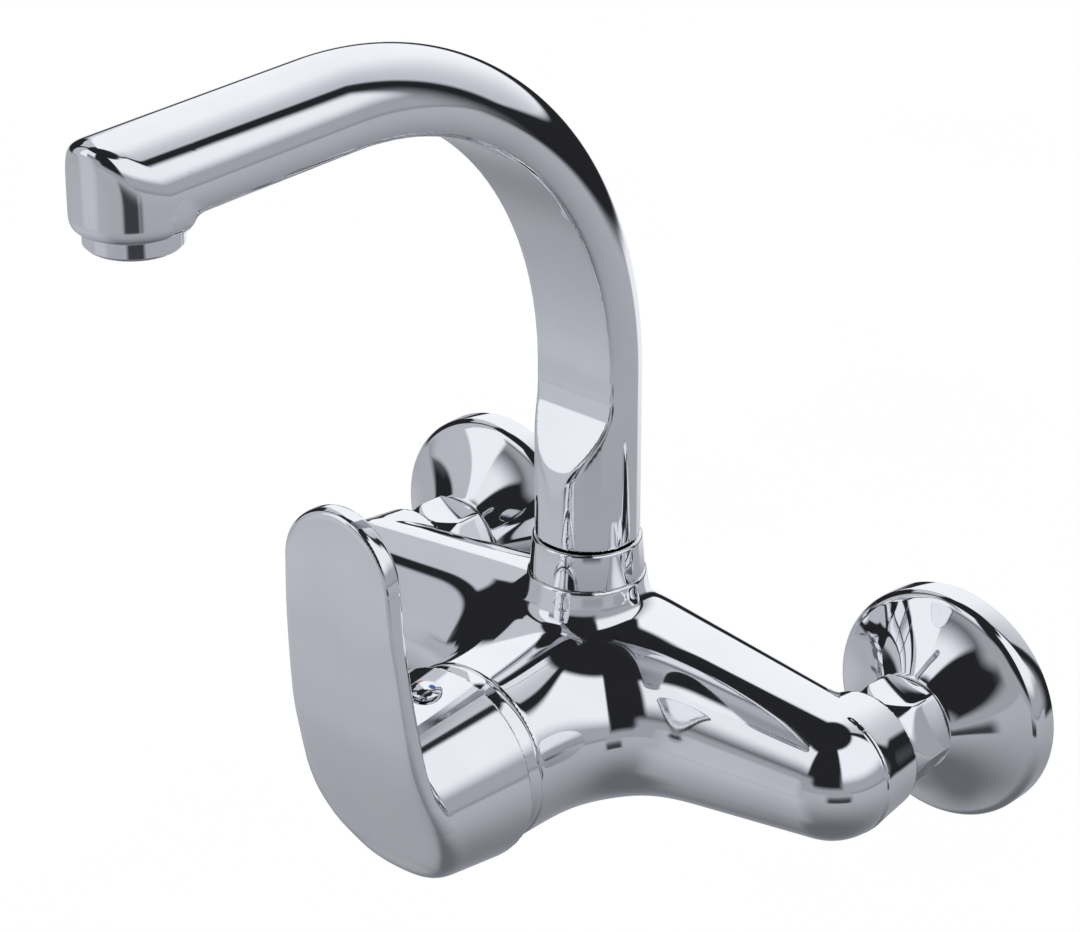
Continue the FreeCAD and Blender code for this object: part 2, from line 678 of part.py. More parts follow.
washer_foot = V(0, OUTLET_Y, AERATOR_LOW + AERATOR_HEIGHT + 0.02)
node("aerator_washer", tube("aerator_washer", OUTLET_THREAD - 0.05, 7.2, 1.15, washer_foot))

# Ceramic cartridge, stacked forward from the seat in the body
base_disc = cylinder("base_disc", "Dims.cartridge_radius", 4.0, at_depth(SEAT + 0.3), FORWARD)
base_cuts = []
port_spots = [V(PORT_X, 0, PORT_Z), V(-PORT_X, 0, PORT_Z), V(0, 0, MIX_Z)]
for k, spot in enumerate(port_spots):
    base_cuts.append(cylinder("base_port_%d" % k, PORT_RADIUS, 6.0, spot + V(0, -SEAT + 0.5, 0), FORWARD))
    base_cuts.append(cylinder("base_recess_%d" % k, 5.55, 1.25, spot + V(0, -SEAT, 0), FORWARD))
node("cartridge_base", cut("cartridge_base", base_disc, base_cuts))
seals = [tube("port_seal_%d" % k, 5.5, 4.25, 1.2, spot + V(0, -SEAT - 0.02, 0), FORWARD)
         for k, spot in enumerate(port_spots)]
node("cartridge_port_seals", group("cartridge_port_seals", seals))

FIXED_DISC = SEAT + 4.32
fixed_blank = cylinder("fixed_blank", 12.5, 3.4, at_depth(FIXED_DISC), FORWARD)
fixed_holes = [cylinder("disc_port_%d" % k, 3.2, 5.0, spot + V(0, -FIXED_DISC + 0.5, 0), FORWARD)
               for k, spot in enumerate(port_spots)]
node("fixed_ceramic_disc", cut("fixed_ceramic_disc", fixed_blank, fixed_holes))
MOVING_DISC = FIXED_DISC + 3.42
moving_blank = cylinder("moving_blank", 10.0, 3.2, at_depth(MOVING_DISC), FORWARD)
recess = cylinder("mixing_recess", 6.8, 1.7, at_depth(MOVING_DISC) + V(0, 0.1, 3.0), FORWARD)
node("moving_ceramic_disc", cut("moving_ceramic_disc", moving_blank, [recess]))
CARRIER = MOVING_DISC + 3.22
carrier_blank = cylinder("carrier_blank", 10.5, 3.4, at_depth(CARRIER), FORWARD)
carrier_slot = block("carrier_slot", (4.6, 3.4, 4.6), at_depth(CARRIER + 1.9))
node("disc_carrier", cut("disc_carrier", carrier_blank, [carrier_slot]))

HOUSING_START = SEAT + 4.32
SHOULDER = SEAT + 18.0
NECK_END = SEAT + 26.0
HOUSING = dim("cartridge_radius")
HOUSING_BORE = 15.0
HOUSING_NECK = 13.2
HOUSING_MOUTH = 10.6
HOUSING_CEILING = 12.3
shoulder = SHOULDER - HOUSING_START
neck_end = NECK_END - HOUSING_START
housing_outline = [
    [(HOUSING, 0)], [(HOUSING, shoulder)], [(HOUSING_NECK, shoulder)], [(HOUSING_NECK, neck_end)],
    [(HOUSING_MOUTH, neck_end)], [(HOUSING_MOUTH, HOUSING_CEILING)], [(HOUSING_BORE, HOUSING_CEILING)],
    [(HOUSING_BORE, 0)],
]
place = FreeCAD.Placement(at_depth(HOUSING_START), OUT_OF_WALL)
node("cartridge_housing", turned_body("cartridge_housing", (HOUSING_BORE, 0), housing_outline, place))

TURRET = CARRIER + 3.8
PIVOT = dim("pivot_depth")
turret_flange = cylinder("turret_flange", 14.6, 1.1, at_depth(TURRET), FORWARD)
turret_post = cylinder("turret_post", 10.3, PIVOT + 4.0 - TURRET, at_depth(TURRET), FORWARD)
turret_slot = block("turret_slot", (7.7, 40.0, 15.0), at_depth(PIVOT, 0, DROP + 0.6))
pin_hole = cylinder("pin_hole", 1.22, 30.0, at_depth(PIVOT, -15.0), X_AXIS)
turret_solid = joined("turret_solid", [turret_flange, turret_post])
node("stem_turret", cut("stem_turret", turret_solid, [turret_slot, pin_hole]))
node("stem_pin", cylinder("stem_pin", 1.2, 16.0, at_depth(PIVOT, -8.0), X_AXIS))
STEM_BALL = CARRIER + 2.6
STEM_END = 118.0
stem_parts = [
    ball("stem_ball", 2.2, at_depth(STEM_BALL)),
    cylinder("stem_leg", 1.8, PIVOT - STEM_BALL, at_depth(STEM_BALL), FORWARD),
    cylinder("stem_root", 3.5, 7.0, at_depth(PIVOT - 3.5), FORWARD),
    block("stem_square", (7.0, STEM_END - PIVOT - 3.0, 7.0), at_depth((STEM_END + PIVOT + 3.0) / 2)),
]
stem_hole = cylinder("stem_hole", 1.23, 12.0, at_depth(PIVOT, -6.0), X_AXIS)
node("cartridge_stem", cut("cartridge_stem", joined("stem_solid", stem_parts), [stem_hole]))

# Retaining nut: threaded ring with a hexagon, clamps the cartridge into the body
NUT_START = SHOULDER + 0.05
RETAINER_THREAD = RETAINER_BORE - 0.04
RETAINER_RIM = 21.0
RETAINER_HEAD = 17.0
RETAINER_HOLE = 13.5
rim_back = BARREL_FRONT - NUT_START + 0.1
rim_front = rim_back + 1.4
head_front = rim_back + 3.3
retainer_outline = [
    [(RETAINER_THREAD, 0)], [(RETAINER_THREAD, rim_back)], [(RETAINER_RIM, rim_back)], [(RETAINER_RIM, rim_front)],
    [(RETAINER_HEAD, rim_front)], [(RETAINER_HEAD, head_front)], [(RETAINER_HOLE, head_front)], [(RETAINER_HOLE, 0)],
]
place = FreeCAD.Placement(at_depth(NUT_START), OUT_OF_WALL)
retainer_round = turned_body("retainer_round", (RETAINER_HOLE, 0), retainer_outline, place)
spanner_flats = []
for k in range(6):
    turn = FreeCAD.Rotation(Y_AXIS, 60.0 * k)
    spanner = doc.addObject("Part::Box", "spanner_flat_%d" % k)
    spanner.Length, spanner.Width, spanner.Height = (30.0, 3.0, 6.0)
    local = FreeCAD.Placement(V(-15.0, -BARREL_FRONT - 4.5, 15.6), FreeCAD.Rotation())
    spanner.Placement = FreeCAD.Placement(V(0, 0, DROP), turn).multiply(local)
    spanner_flats.append(spanner)
node("cartridge_retaining_nut", cut("cartridge_retaining_nut", retainer_round, spanner_flats))

# Cover ring: chrome cap pushed over the retaining nut flange
COVER_START = BARREL_FRONT + 0.15
COVER_LENGTH = 5.0
COVER_BORE = RETAINER_RIM + 0.03
COVER_HOLE = 14.2
cover_floor = COVER_LENGTH - 1.2
cover_outline = [
    [(23.5, 0)], [(23.6, 1.2)], [(22.9, 4.3)], [(22.6, 4.85), (22.0, COVER_LENGTH)],
    [(COVER_HOLE, COVER_LENGTH)], [(COVER_HOLE, cover_floor)], [(COVER_BORE, cover_floor)], [(COVER_BORE, 0)],
]
place = FreeCAD.Placement(at_depth(COVER_START), OUT_OF_WALL)
node("cover_ring", turned_body("cover_ring", (COVER_BORE, 0), cover_outline, place))

# Lever handle: hollow cup that sweeps up into a tall plate
REAR = dim("handle_rear")
FRONT = dim("plate_front")
THICK = dim("plate_thickness")
HALF_W = dim("plate_half_width")
TOP_C = dim("plate_top_centre")
CUP_LOW = -29.5
PLATE_TOP = TOP_C + 30.0
STRAIGHT_TO = 62.0
SLAB_WIDTH = 70.0
PLATE_BACK = FRONT - THICK
SIDE_VIEW = facing_left(V(0, 0, 0))
front_curve = [
    (FRONT - 0.5, 52.0), (FRONT - 1.5, 42.0), (FRONT - 2.8, 30.0), (FRONT - 4.4, 19.0), (FRONT - 6.8, 9.5),
    (FRONT - 10.0, 0.0), (FRONT - 13.5, -9.0), (FRONT - 17.0, -18.0), (FRONT - 20.8, -25.6), (FRONT - 26.0, CUP_LOW),
]
front_side = free_sketch("handle_front_side", SIDE_VIEW, (FRONT, STRAIGHT_TO), [
    front_curve, [(REAR, CUP_LOW)], [(REAR, PLATE_TOP)], [(FRONT, PLATE_TOP)], [(FRONT, STRAIGHT_TO)]])
front_slab = extruded("handle_front_slab", front_side, SLAB_WIDTH, True)
BACK_LOW = -12.0
PAST_FRONT = FRONT + 5.0
back_curve = [
    (PLATE_BACK - 0.4, 48.0), (PLATE_BACK - 2.2, 30.0), (PLATE_BACK - 5.0, 13.0), (PLATE_BACK - 12.5, BACK_LOW),
]
plate_side = free_sketch("plate_side", SIDE_VIEW, (PLATE_BACK, STRAIGHT_TO), [
    back_curve, [(PAST_FRONT, BACK_LOW)], [(PAST_FRONT, PLATE_TOP)], [(PLATE_BACK, PLATE_TOP)],
    [(PLATE_BACK, STRAIGHT_TO)]])
plate_slab = extruded("plate_slab", plate_side, SLAB_WIDTH, True)
cup_side = free_sketch("cup_side", SIDE_VIEW, (FRONT, CUP_LOW), [
    [(REAR + 6.5, CUP_LOW)], [(REAR + 2.2, CUP_LOW + 5.6), (REAR, CUP_LOW + 14.0)],
    [(REAR, STRAIGHT_TO)], [(FRONT, STRAIGHT_TO)], [(FRONT, CUP_LOW)]])
cup_slab = extruded("cup_slab", cup_side, SLAB_WIDTH, True)


def facing_front(depth):
    # sketch plane parallel to the wall, local X to the right, local Y up, normal forward
    return FreeCAD.Placement(V(0, -depth, 0), FreeCAD.Rotation(X_AXIS, Z_AXIS, FORWARD, "XYZ"))


HEEL = (20.6, -1.5)
right_edge = [(17.4, 54.0), (18.3, 42.0), (19.1, 28.0), (19.9, 15.0), (20.8, 7.0), (21.2, 2.5), HEEL]
left_edge = [(-x, z) for x, z in reversed(right_edge[:-1])] + [(-HALF_W, TOP_C)]
face_outline = [[(0, TOP_C + HALF_W), (HALF_W, TOP_C)], right_edge, [(-HEEL[0], HEEL[1])], left_edge]
PRISM_START = FRONT - 22.0
PRISM_LENGTH = 36.0
plate_sketch = free_sketch("handle_face", facing_front(PRISM_START), (-HALF_W, TOP_C), face_outline)
plate_prism = extruded("handle_face_prism", plate_sketch, PRISM_LENGTH)
plate = common("handle_plate", plate_prism, plate_slab)
REAR_R = dim("handle_rear_radius")
FRONT_R = dim("handle_front_radius")
cup_cone = cone("handle_cup_cone", REAR_R, FRONT_R, FRONT - REAR, at_depth(REAR), FORWARD)
cup = common("handle_cup", cup_cone, cup_slab)
handle_blank = joined("handle_blank", [plate, cup])
handle_form = common("handle_form", handle_blank, front_slab)
CUP_WALL = 2.2
CAVITY_END = 121.0
HOLLOW_FRONT_R = 16.3
HUB_RADIUS = 8.0
HUB_START = 107.0
SOCKET_SIDE = 7.1
SOCKET_DEPTH = 113.0
SOCKET_LENGTH = 13.6
MOUTH_LENGTH = 8.0
GRUB_Y = 113.5
GRUB_RADIUS = 2.48
GRUB_HEIGHT = 4.2
GRUB_LOW = DROP + 3.55
PLUG_RADIUS = 2.9
PLUG_BORE_LOW = 12.0
hollow_length = CAVITY_END - REAR + 1.0
hollow = cone("handle_hollow", REAR_R - CUP_WALL, HOLLOW_FRONT_R, hollow_length, at_depth(REAR - 1.0), FORWARD)
hub = cylinder("handle_hub", HUB_RADIUS, CAVITY_END - HUB_START + 1.0, at_depth(HUB_START), FORWARD)
socket = block("handle_socket", (SOCKET_SIDE, SOCKET_LENGTH, SOCKET_SIDE), at_depth(SOCKET_DEPTH))
mouth = block("handle_socket_mouth", (SOCKET_SIDE, MOUTH_LENGTH, SOCKET_SIDE), at_depth(HUB_START))
grub_bore = cylinder("grub_bore", GRUB_RADIUS + 0.04, 30.0, at_depth(GRUB_Y), Z_AXIS)
plug_bore = cylinder("plug_bore", PLUG_RADIUS + 0.1, 12.0, V(0, -GRUB_Y, PLUG_BORE_LOW), Z_AXIS)
hollow_cut = cut("handle_hollow_cut", hollow, [hub])
handle_cuts = [hollow_cut, socket, mouth, grub_bore, plug_bore]
node("lever_handle", cut("lever_handle", handle_form, handle_cuts))
grub_body = cylinder("grub_body", GRUB_RADIUS, GRUB_HEIGHT, V(0, -GRUB_Y, GRUB_LOW))
grub_slot = block("grub_slot", (0.8, 6.0, 2.0), V(0, -GRUB_Y, GRUB_LOW + GRUB_HEIGHT))
node("handle_grub_screw", cut("handle_grub_screw", grub_body, [grub_slot]))
PLUG_LOW = 15.4
PLUG_SHOULDER = 6.1
PLUG_TOP = 7.7
plug_outline = [
    [(PLUG_RADIUS, 0)], [(PLUG_RADIUS, PLUG_SHOULDER)], [(4.1, PLUG_SHOULDER + 0.05)],
    [(2.5, 7.35), (0.5, PLUG_TOP)], [(0, PLUG_TOP)], [(0, 0)],
]
place = FreeCAD.Placement(V(0, -GRUB_Y, PLUG_LOW), FreeCAD.Rotation())
node("index_plug", turned_body("index_plug", (0, 0), plug_outline, place))

doc.recompute()
failed = [o.Name for o in doc.Objects if "Invalid" in o.State or "Error" in o.State]
if failed:
    raise RuntimeError("objects not rebuilt: " + ", ".join(failed))
for name, obj in nodes.items():
    if obj.Shape.isNull() or not obj.Shape.isValid() or obj.Shape.Volume <= 0:
        raise RuntimeError("bad shape: " + name)
os.makedirs("parts", exist_ok=True)
for name, obj in nodes.items():
    obj.Shape.exportStep("parts/%s.step" % name)
    box = obj.Shape.BoundBox
    print(name, "solids", len(obj.Shape.Solids), "volume", round(obj.Shape.Volume, 1),
          "box", [round(v, 2) for v in (box.XMin, box.YMin, box.ZMin, box.XMax, box.YMax, box.ZMax)])
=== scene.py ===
import bpy
import bmesh
import math
import numpy as np
from mathutils import Matrix, Vector


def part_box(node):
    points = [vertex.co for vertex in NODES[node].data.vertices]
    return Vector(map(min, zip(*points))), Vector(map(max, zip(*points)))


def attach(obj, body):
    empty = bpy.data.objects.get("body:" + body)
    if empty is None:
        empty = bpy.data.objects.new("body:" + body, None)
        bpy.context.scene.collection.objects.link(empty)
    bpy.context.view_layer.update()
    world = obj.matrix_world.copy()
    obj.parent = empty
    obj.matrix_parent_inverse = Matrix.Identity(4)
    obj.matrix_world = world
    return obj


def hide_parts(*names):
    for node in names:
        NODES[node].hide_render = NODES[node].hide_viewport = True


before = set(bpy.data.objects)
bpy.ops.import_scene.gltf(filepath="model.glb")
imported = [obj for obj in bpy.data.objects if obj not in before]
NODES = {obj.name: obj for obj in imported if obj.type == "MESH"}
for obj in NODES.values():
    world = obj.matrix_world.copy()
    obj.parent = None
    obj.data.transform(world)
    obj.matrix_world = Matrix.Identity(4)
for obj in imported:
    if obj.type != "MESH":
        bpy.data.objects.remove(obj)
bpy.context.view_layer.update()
MM = 0.001


# Sizes read from the frame, in mm
def corners(node):
    low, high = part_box(node)
    return Vector(low) / MM, Vector(high) / MM


flange_low, flange_high = corners("wall_flange_right")
body_low, body_high = corners("mixer_body")
collar_low, collar_high = corners("spout_collar")
spout_low = corners("spout")[0]
nut_low, nut_high = corners("union_nuts")
cover_low, cover_high = corners("cover_ring")
lever_low, lever_high = corners("lever_handle")
aerator_low, aerator_high = corners("aerator_housing")
plug_low, plug_high = corners("index_plug")
HALF = (flange_low.x + flange_high.x) / 2
RIM = (flange_high.x - flange_low.x) / 2
SPOUT_Y = (collar_low.y + collar_high.y) / 2
OUTLET_Y = (aerator_low.y + aerator_high.y) / 2
DROP = (cover_low.z + cover_high.z) / 2
BARREL_FRONT = -body_low.y
BARREL = DROP - body_low.z
TIP = OUTLET_Y - spout_low.y


# Solid shapes as signed distances in mm, worked out for many points at once
def grown(first, second, width):
    # two forms cast together, with a soft valley between them
    near = np.maximum(width - np.abs(first - second), 0) / width
    return np.minimum(first, second) - near ** 3 * width / 6


def trimmed(first, second, width):
    # what two forms share, with the edge between them polished round
    return -grown(-first, -second, width)


def bent_line(place, stops):
    # a smooth curve through (place, value) stops, level with its neighbours at each stop
    at = np.array([stop[0] for stop in stops])
    value = np.array([stop[1] for stop in stops])
    slope = np.gradient(value, at)
    place = np.clip(place, at[0], at[-1])
    i = np.clip(np.searchsorted(at, place) - 1, 0, len(at) - 2)
    span = at[i + 1] - at[i]
    t = (place - at[i]) / span
    rise = value[i + 1] - value[i]
    lead = slope[i] * span - rise
    tail = rise - slope[i + 1] * span
    return value[i] + t * rise + t * (1 - t) * ((1 - t) * lead + t * tail)


# Body casting: arms, elbows, inlet stubs, boss and barrel
ARM_Y = -50.0
ARM_TAPER = math.radians(6.6)
ARM_CROWN = 10.0
ELBOW = 17.0
ELBOW_X = math.hypot(74.6, ARM_CROWN)
STUB_ROOT = 16.95
STUB_END = 15.5
STUB_FACE = -36.0
STUB_SEAM_FROM = -12.0
STUB_SEAM_TO = -2.0
STUB_SEAM_WIDE = 3.0
STUB_SEAM_FINE = 0.6
BOSS = 16.0
BOSS_TOP = 31.9
BOSS_FLARE = 22.7
BOSS_LEAN = 1.2
BOSS_VALLEY = 5.0
BOSS_NECK = 12.4
BARREL_REAR = -66.0
BARREL_EDGE = 1.4
ARM_VALLEY = 24.0
CAST_EDGE = 1.2


def body_form(x, y, z):
    spread = np.hypot(x, ARM_CROWN)
    around = np.hypot(y - ARM_Y, z)
    cone = around * math.cos(ARM_TAPER) + (spread - ELBOW_X) * math.sin(ARM_TAPER) - ELBOW
    knob = np.hypot(spread - ELBOW_X, around) - ELBOW
    arms = np.where(spread - ELBOW_X > around * math.tan(ARM_TAPER), knob, cone)
    barrel = np.sqrt(x ** 2 + np.maximum(y - BARREL_REAR, 0) ** 2 + (z - DROP) ** 2) - BARREL
    barrel = trimmed(barrel, -BARREL_FRONT - y, BARREL_EDGE)
    off_centre = np.hypot(x, y - SPOUT_Y)
    lean = np.clip((z - BOSS_FLARE) / (BOSS_TOP - BOSS_FLARE), 0, 1) * BOSS_LEAN
    boss = np.maximum(trimmed(off_centre - BOSS + lean, z - BOSS_TOP, CAST_EDGE), -z)
    stub_way = np.clip((y - ARM_Y) / (STUB_FACE - ARM_Y), 0, 1)
    off_inlet = np.abs(x) - HALF
    stub = np.hypot(off_inlet, z) - STUB_ROOT + stub_way * (STUB_ROOT - STUB_END)
    stub = np.maximum(trimmed(stub, y - STUB_FACE, CAST_EDGE), ARM_Y - y)
    seam = np.interp(off_inlet, [STUB_SEAM_FROM, STUB_SEAM_TO], [STUB_SEAM_WIDE, STUB_SEAM_FINE])
    casting = grown(grown(arms, barrel, ARM_VALLEY), stub, seam)
    neck = np.maximum(off_centre - BOSS_NECK, z - body_high.z)
    return np.minimum(grown(casting, boss, BOSS_VALLEY), neck)


# Spout: a round tube with a flat under side, a scooped foot and a rounded tip
SPOUT = 13.1
FLAT = 5.3
FLAT_EDGE = 1.3
FOOT = 42.0
FOOT_EDGE = 0.8
ARCH_Z = 85.7
ARCH = 91.5
LEVEL_Z = ARCH_Z + ARCH
TIP_LOW = 169.0
TIP_LOW_EDGE = 4.0
TIP_ROUNDING = 5.0
TIP_VALLEY = 2.5
OUTSIDE = 99.0
SCOOP = [(50.0, 13.6), (56.4, 13.25), (60.7, 12.77), (64.8, 11.37), (70.0, 8.9), (75.5, 6.3), (77.8, 5.6),
         (80.0, FLAT), (84.0, FLAT)]


def spout_form(x, y, z):
    bend_y = SPOUT_Y - ARCH
    bend = np.hypot(y - bend_y, z - ARCH_Z) - ARCH
    outward = np.where(z < ARCH_Z, y - SPOUT_Y, np.where(y > bend_y, bend, z - LEVEL_Z))
    flat = np.where(z < ARCH_Z, bent_line(z, SCOOP), FLAT)
    tube = trimmed(np.hypot(x, outward) - SPOUT, -outward - flat, FLAT_EDGE)
    tube = np.maximum(tube, OUTLET_Y - y)
    post = np.hypot(x, y - OUTLET_Y) - TIP
    crown = np.where(z > LEVEL_Z, np.hypot(x, z - LEVEL_Z), np.abs(x)) - SPOUT
    rounding = TIP_ROUNDING * np.clip((OUTLET_Y - y) / 8, 0.1, 1)
    tip = trimmed(trimmed(post, crown, rounding), TIP_LOW - z, TIP_LOW_EDGE)
    valley = TIP_VALLEY * np.clip((LEVEL_Z - z) / 4, 0.02, 1)
    form = trimmed(grown(tube, tip, valley), FOOT - z, FOOT_EDGE)
    return np.where(z < FOOT - 0.2, OUTSIDE, form)


# Lever: a cup round the stem with a tall curved plate in front, as one casting
LEVER_REAR = -lever_high.y
LEVER_FRONT = -lever_low.y
CUP_REAR = lever_high.x
CUP_FRONT = 20.6
CUP_EDGE = 0.8
CUP_VALLEY = 4.0
PLATE_THICKNESS = 4.8
PLATE_TOP = 63.5
PLATE_EDGE = 1.6
RIM_HEIGHTS = [-30.0, 0.0, 25.0]
RIM_ROUNDING = [7.0, 6.0, 2.6]
FRONT_LINE = [(-29.5, -26.0), (-25.6, -20.8), (-18.0, -17.0), (-9.0, -13.5), (0.0, -10.0), (9.5, -6.8),
              (19.0, -4.4), (30.0, -2.8), (42.0, -1.5), (52.0, -0.5), (62.0, 0.0), (90.0, 0.0)]
BACK_LINE = [(-30.0, -21.0), (-12.0, -12.5), (0.0, -8.3), (13.0, -5.0), (30.0, -2.2), (48.0, -0.4),
             (62.0, 0.0), (90.0, 0.0)]
PLATE_FOOT = 20.0
SIDE_LINE = [(-3.0, PLATE_FOOT), (-1.0, 20.7), (2.5, 21.1), (7.0, 20.8), (15.0, 19.9), (28.0, 19.1),
             (42.0, 18.3), (54.0, 17.4), (63.5, 16.8)]
REAR_LINE = [(-29.5, 6.5), (-23.9, 2.2), (-15.5, 0.0), (0.0, 0.0)]


def lever_form(x, y, z):
    depth = -y
    cup_way = (depth - LEVER_REAR) / (LEVER_FRONT - LEVER_REAR)
    cup = np.hypot(x, z - DROP) - CUP_REAR + cup_way * (CUP_REAR - CUP_FRONT)
    top_round = np.hypot(x, z - PLATE_TOP) - SIDE_LINE[-1][1]
    side = np.where(z > PLATE_TOP, top_round, np.abs(x) - bent_line(z, SIDE_LINE))
    side = np.where(z < DROP, np.hypot(x, z - DROP) - PLATE_FOOT, side)
    back = LEVER_FRONT - PLATE_THICKNESS + bent_line(z, BACK_LINE) - depth
    form = grown(trimmed(side, back, PLATE_EDGE), cup, CUP_VALLEY)
    rim = np.interp(z, RIM_HEIGHTS, RIM_ROUNDING)
    form = trimmed(form, depth - LEVER_FRONT - bent_line(z, FRONT_LINE), rim)
    return trimmed(form, LEVER_REAR + bent_line(z, REAR_LINE) - depth, CUP_EDGE)


# Hexagon nuts, chamfered at both ends
NUT_FLATS = 24.2
NUT_CORNER = NUT_FLATS / 2 / math.cos(math.radians(30))
NUT_TURN = -34.0
NUT_EDGE = 1.2
NUT_FRONT_FROM = -28.2
NUT_FRONT_SLOPE = 0.47
NUT_BACK_FROM = -20.4
NUT_BACK_SLOPE = 1.4


def nut_form(x, y, z):
    across = np.abs(x) - HALF
    across = np.where(x < 0, -across, across)
    form = np.full_like(x, -OUTSIDE)
    for k in range(6):
        turn = math.radians(NUT_TURN + 60 * k)
        form = trimmed(form, across * math.cos(turn) + z * math.sin(turn) - NUT_FLATS / 2, NUT_EDGE)
    around = np.hypot(across, z)
    front_cone = around - NUT_CORNER + (NUT_FRONT_FROM - y) * NUT_FRONT_SLOPE
    back_cone = around - NUT_CORNER + (y - NUT_BACK_FROM) * NUT_BACK_SLOPE
    form = trimmed(trimmed(form, front_cone, 1.0), back_cone, 0.8)
    return trimmed(trimmed(form, nut_low.y - y, 0.8), y - nut_high.y, 0.6)


# Casting and spinning the pieces
def slopes(form, points, step=0.02):
    # which way, and how fast, each point leaves the form
    found = []
    for axis in range(3):
        shift = np.zeros(3)
        shift[axis] = step
        found.append((form(*(points + shift).T) - form(*(points - shift).T)) / (2 * step))
    return np.stack(found, axis=1)


def show(name, mesh):
    piece = bpy.data.objects.new(name, mesh)
    bpy.context.scene.collection.objects.link(piece)
    return piece


def places(mesh):
    spots = np.empty(len(mesh.vertices) * 3, dtype=np.float32)
    mesh.vertices.foreach_get("co", spots)
    return spots.reshape(-1, 3).astype(float) / MM


def facing(mesh):
    return np.array([tuple(entry.vector) for entry in mesh.vertex_normals])


FLATTEST = 0.05
FACING = 0.35


def polished_casting(name, node, form, grain, reach, rounds=3):
    # a close-meshed copy of a CAD piece whose outside is drawn onto the smooth form and polished there
    rough = bmesh.new()
    rough.from_mesh(NODES[node].data)
    bmesh.ops.remove_doubles(rough, verts=rough.verts, dist=0.002 * MM)
    mesh = bpy.data.meshes.new(name)
    rough.to_mesh(mesh)
    rough.free()
    piece = show(name, mesh)
    remesh = piece.modifiers.new("close_mesh", "REMESH")
    remesh.mode = "VOXEL"
    remesh.voxel_size = grain * MM
    graph = bpy.context.evaluated_depsgraph_get()
    close = bpy.data.meshes.new_from_object(piece.evaluated_get(graph))
    piece.modifiers.clear()
    piece.data = close
    for lap in range(rounds):
        points = places(close)
        normals = facing(close)
        outside = np.zeros(len(points), dtype=bool)
        for nudge in range(3):
            level = form(*points.T)
            slope = slopes(form, points)
            steep = np.maximum((slope ** 2).sum(axis=1), FLATTEST)
            outward = (normals * slope).sum(axis=1) > FACING * np.sqrt(steep)
            outside = (np.abs(level) < reach) & outward
            points[outside] -= (level / steep)[outside, None] * slope[outside]
        work = bmesh.new()
        work.from_mesh(close)
        work.verts.ensure_lookup_table()
        for index in np.nonzero(outside)[0]:
            work.verts[index].co = points[index] * MM
        if lap < rounds - 1:
            chosen = [work.verts[index] for index in np.nonzero(outside)[0]]
            bmesh.ops.smooth_vert(work, verts=chosen, factor=0.5,
                                  use_axis_x=True, use_axis_y=True, use_axis_z=True)
        work.to_mesh(close)
        work.free()
    close.shade_smooth()
    shine = facing(close)
    slope = slopes(form, places(close))
    length = np.maximum(np.linalg.norm(slope, axis=1), 1e-6)
    shine[outside] = (slope / length[:, None])[outside]
    close.normals_split_custom_set_from_vertices([tuple(v) for v in shine])
    return piece


def arc(start, through, end, count=8):
    # points on the circle through three (radius, height) points, from the first to the last
    (ax, ay), (bx, by), (cx, cy) = start, through, end
    d = 2 * (ax * (by - cy) + bx * (cy - ay) + cx * (ay - by))
    sa, sb, sc = ax * ax + ay * ay, bx * bx + by * by, cx * cx + cy * cy
    ox = (sa * (by - cy) + sb * (cy - ay) + sc * (ay - by)) / d
    oy = (sa * (cx - bx) + sb * (ax - cx) + sc * (bx - ax)) / d
    first = math.atan2(ay - oy, ax - ox)
    sweep = (math.atan2(cy - oy, cx - ox) - first + math.pi) % (2 * math.pi) - math.pi
    radius = math.hypot(ax - ox, ay - oy)
    angles = [first + sweep * k / count for k in range(count + 1)]
    return [(ox + radius * math.cos(angle), oy + radius * math.sin(angle)) for angle in angles]


TURNS = 144


def turned(name, outline, place, edge=0.2, crease=0.45):
    # a closed (radius, height) outline spun about its axis, with its sharp rings polished
    form = bmesh.new()
    points = [form.verts.new((radius * MM, 0, height * MM)) for radius, height in outline]
    for first, second in zip(points, points[1:] + points[:1]):
        form.edges.new((first, second))
    bmesh.ops.spin(form, geom=form.verts[:] + form.edges[:], cent=(0, 0, 0), axis=(0, 0, 1),
                   angle=2 * math.pi, steps=TURNS, use_merge=True, use_duplicate=False)
    bmesh.ops.remove_doubles(form, verts=form.verts, dist=0.001 * MM)
    bmesh.ops.recalc_face_normals(form, faces=form.faces)
    sharp = [ring for ring in form.edges if len(ring.link_faces) == 2 and ring.calc_face_angle() > crease]
    bmesh.ops.bevel(form, geom=sharp, offset=edge * MM, segments=3, profile=0.5, affect="EDGES",
                    clamp_overlap=True, material=-1)
    bmesh.ops.transform(form, matrix=place, verts=form.verts)
    mesh = bpy.data.meshes.new(name)
    form.to_mesh(mesh)
    form.free()
    mesh.shade_smooth()
    return show(name, mesh)


def axis_place(spot, axis):
    # local Z laid along an axis of the frame
    turn = Vector((0, 0, 1)).rotation_difference(Vector(axis)).to_matrix().to_4x4()
    return Matrix.Translation(Vector(spot) * MM) @ turn


# Castings, nuts and lever
body = polished_casting("body_casting", "mixer_body", body_form, 0.9, 3.2)
spout = polished_casting("spout_tube", "spout", spout_form, 0.78, 1.4)
lever = polished_casting("lever_casting", "lever_handle", lever_form, 0.7, 1.6)
nuts = polished_casting("hexagon_nuts", "union_nuts", nut_form, 0.4, 0.9)

